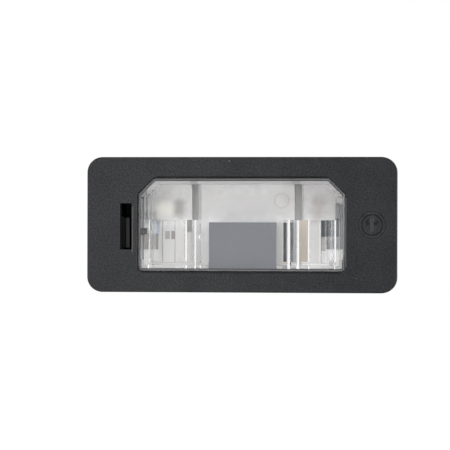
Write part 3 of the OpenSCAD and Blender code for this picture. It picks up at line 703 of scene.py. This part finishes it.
# The face's lighter edges are partly wear and partly a painted highlight
FACE_EDGE_WEAR_AND_GLINT = (0.14, 0.14, 0.145)
FACE_FRONT = face_low[1] * MM_PER_METRE
MARK_FROM_END = 6.45
MARK_X = face_high[0] * MM_PER_METRE - MARK_FROM_END
LEVEL = (FACE_FRONT - 0.5, FACE_FRONT + 0.05)
ROUNDED_LIP = (FACE_FRONT - 0.5, FACE_FRONT + 0.15)
DISC_FLOOR = (FACE_FRONT + 0.1, FACE_FRONT + 0.2)
GROOVE_FLOOR = (FACE_FRONT + 0.2, FACE_FRONT + 1.0)
WINDOW_WALL = (FACE_FRONT + 0.1, 0.0)
FACE_SHADES = (
    # The mould mark: painted shade in its groove and the disc's two dips, and a painted
    # highlight on its pointer
    ((MARK_X, 0.0), (2.6, 2.6), 0.5, (0.3, 0.3, 0.3), GROOVE_FLOOR),
    ((MARK_X - 1.1, 0.6), (0.25, 0.4), 0.5, (0.35, 0.35, 0.35), DISC_FLOOR),
    ((MARK_X + 0.9, 0.6), (0.25, 0.4), 0.4, (0.35, 0.35, 0.35), DISC_FLOOR),
    ((MARK_X, 0.0), (0.4, 1.8), 0.3, (1.6, 1.6, 1.6), LEVEL),
    # Painted shade on the window's walls and its top and bottom edges, and on the side
    # turned from the key lamp
    ((0.0, 0.0), (30.0, 13.0), 0.5, (0.12, 0.12, 0.12), WINDOW_WALL),
    ((0.0, 12.75), (22.5, 0.1), 0.15, (0.35, 0.35, 0.35), LEVEL),
    ((0.0, -12.7), (26.5, 0.1), 0.2, (0.45, 0.45, 0.46), LEVEL),
    ((60.0, 0.0), (10.0, 40.0), 60.0, (0.70, 0.72, 0.73)),
)
EDGE_GLEAM = (
    ((-29.1, -1.3), (0.12, 6.0), 0.15, (0.085, 0.085, 0.088), ROUNDED_LIP),
    ((27.9, -2.0), (0.12, 9.0), 0.2, (0.11, 0.11, 0.115), ROUNDED_LIP),
)
face_finish = paint_patches(moulded_plastic(
    "face plastic", FACE_BLACK, FACE_DARK_GREY, FACE_EDGE_WEAR_AND_GLINT,
    rough=(0.40, 0.52), grain=4200.0, depth=0.000026, speckle=0.5, dust=0.02,
    specular=0.2, edge_radius=0.0002), FACE_SHADES)
dress("front_frame", paint_patches(face_finish, EDGE_GLEAM, "MIX"))


# Floor and light
# A plain white floor below the lamp and a white surround. A soft lamp stands in
# front on the left, with weaker ones on the right, above and behind.
FLOOR_DROP = 0.09
FLOOR_SIZE = 3.0
FLOOR_PAINT = (0.8, 0.8, 0.8, 1.0)
FLOOR_DULLNESS = 0.9
FLOOR_GLOW = 0.7
WHITE_LIGHT = (1.0, 1.0, 1.0, 1.0)
floor_mesh = bmesh.new()
bmesh.ops.create_grid(floor_mesh, x_segments=1, y_segments=1, size=FLOOR_SIZE)
bmesh.ops.translate(floor_mesh, vec=(0, 0, -FLOOR_DROP), verts=floor_mesh.verts)
floor_data = bpy.data.meshes.new("floor")
floor_mesh.to_mesh(floor_data)
floor_mesh.free()
floor = bpy.data.objects.new("floor", floor_data)
bpy.context.collection.objects.link(floor)
floor_paint = bpy.data.materials.new("floor paint")
floor_paint.use_nodes = True
floor_tree = floor_paint.node_tree
floor_shader = floor_tree.nodes["Principled BSDF"]
floor_shader.inputs["Base Color"].default_value = FLOOR_PAINT
floor_shader.inputs["Roughness"].default_value = FLOOR_DULLNESS
floor_shader.inputs["Emission Color"].default_value = WHITE_LIGHT
floor_sight = add_node(floor_tree, "LightPath")
floor_seen = add_node(floor_tree, "Math", operation="MAXIMUM")
floor_lift = add_node(floor_tree, "Math", operation="MULTIPLY")
floor_lift.inputs[1].default_value = FLOOR_GLOW
wire(floor_tree, (floor_sight, "Is Camera Ray"), (floor_seen, 0))
wire(floor_tree, (floor_sight, "Is Transmission Ray"), (floor_seen, 1))
wire(floor_tree, (floor_seen, 0), (floor_lift, 0))
wire(floor_tree, (floor_lift, 0), (floor_shader, "Emission Strength"))
floor_data.materials.append(floor_paint)


def soft_lamp(name, place, size, power):
    """A square area lamp that points at the lamp's face."""
    lamp = bpy.data.objects.new(name, bpy.data.lights.new(name, "AREA"))
    bpy.context.collection.objects.link(lamp)
    lamp.data.size = size
    lamp.data.energy = power
    lamp.location = place
    lamp.rotation_euler = (-Vector(place)).to_track_quat("-Z", "Y").to_euler()


soft_lamp("key", place=(-0.43, -0.62, 0.08), size=0.35, power=1.24)
soft_lamp("fill", place=(0.45, -0.60, 0.08), size=0.5, power=1.3)
soft_lamp("front", place=(0.05, -0.6, 0.45), size=0.4, power=0.6)
soft_lamp("top", place=(0.0, -0.2, 0.7), size=0.5, power=0.3)
soft_lamp("back", place=(0.1, 0.7, 0.5), size=0.5, power=1.6)

SURROUND_DIFFUSE = 0.6
SURROUND_MIRRORED = 0.5
SURROUND_SEEN = 1.0
world = bpy.data.worlds.new("surround")
world.use_nodes = True
bpy.context.scene.world = world
sky_tree = world.node_tree
sky = sky_tree.nodes["Background"]
sky.inputs["Color"].default_value = WHITE_LIGHT
sight = add_node(sky_tree, "LightPath")
eye_or_glass = add_node(sky_tree, "Math", operation="MAXIMUM")
unseen = add_node(sky_tree, "MapRange", To_Min=SURROUND_DIFFUSE, To_Max=SURROUND_MIRRORED)
strength = add_node(sky_tree, "Mix")
strength.inputs["B"].default_value = SURROUND_SEEN
wire(sky_tree, (sight, "Is Glossy Ray"), (unseen, "Value"))
wire(sky_tree, (unseen, "Result"), (strength, "A"))
wire(sky_tree, (sight, "Is Camera Ray"), (eye_or_glass, 0))
wire(sky_tree, (sight, "Is Transmission Ray"), (eye_or_glass, 1))
wire(sky_tree, (eye_or_glass, 0), (strength, "Factor"))
wire(sky_tree, (strength, "Result"), (sky, "Strength"))
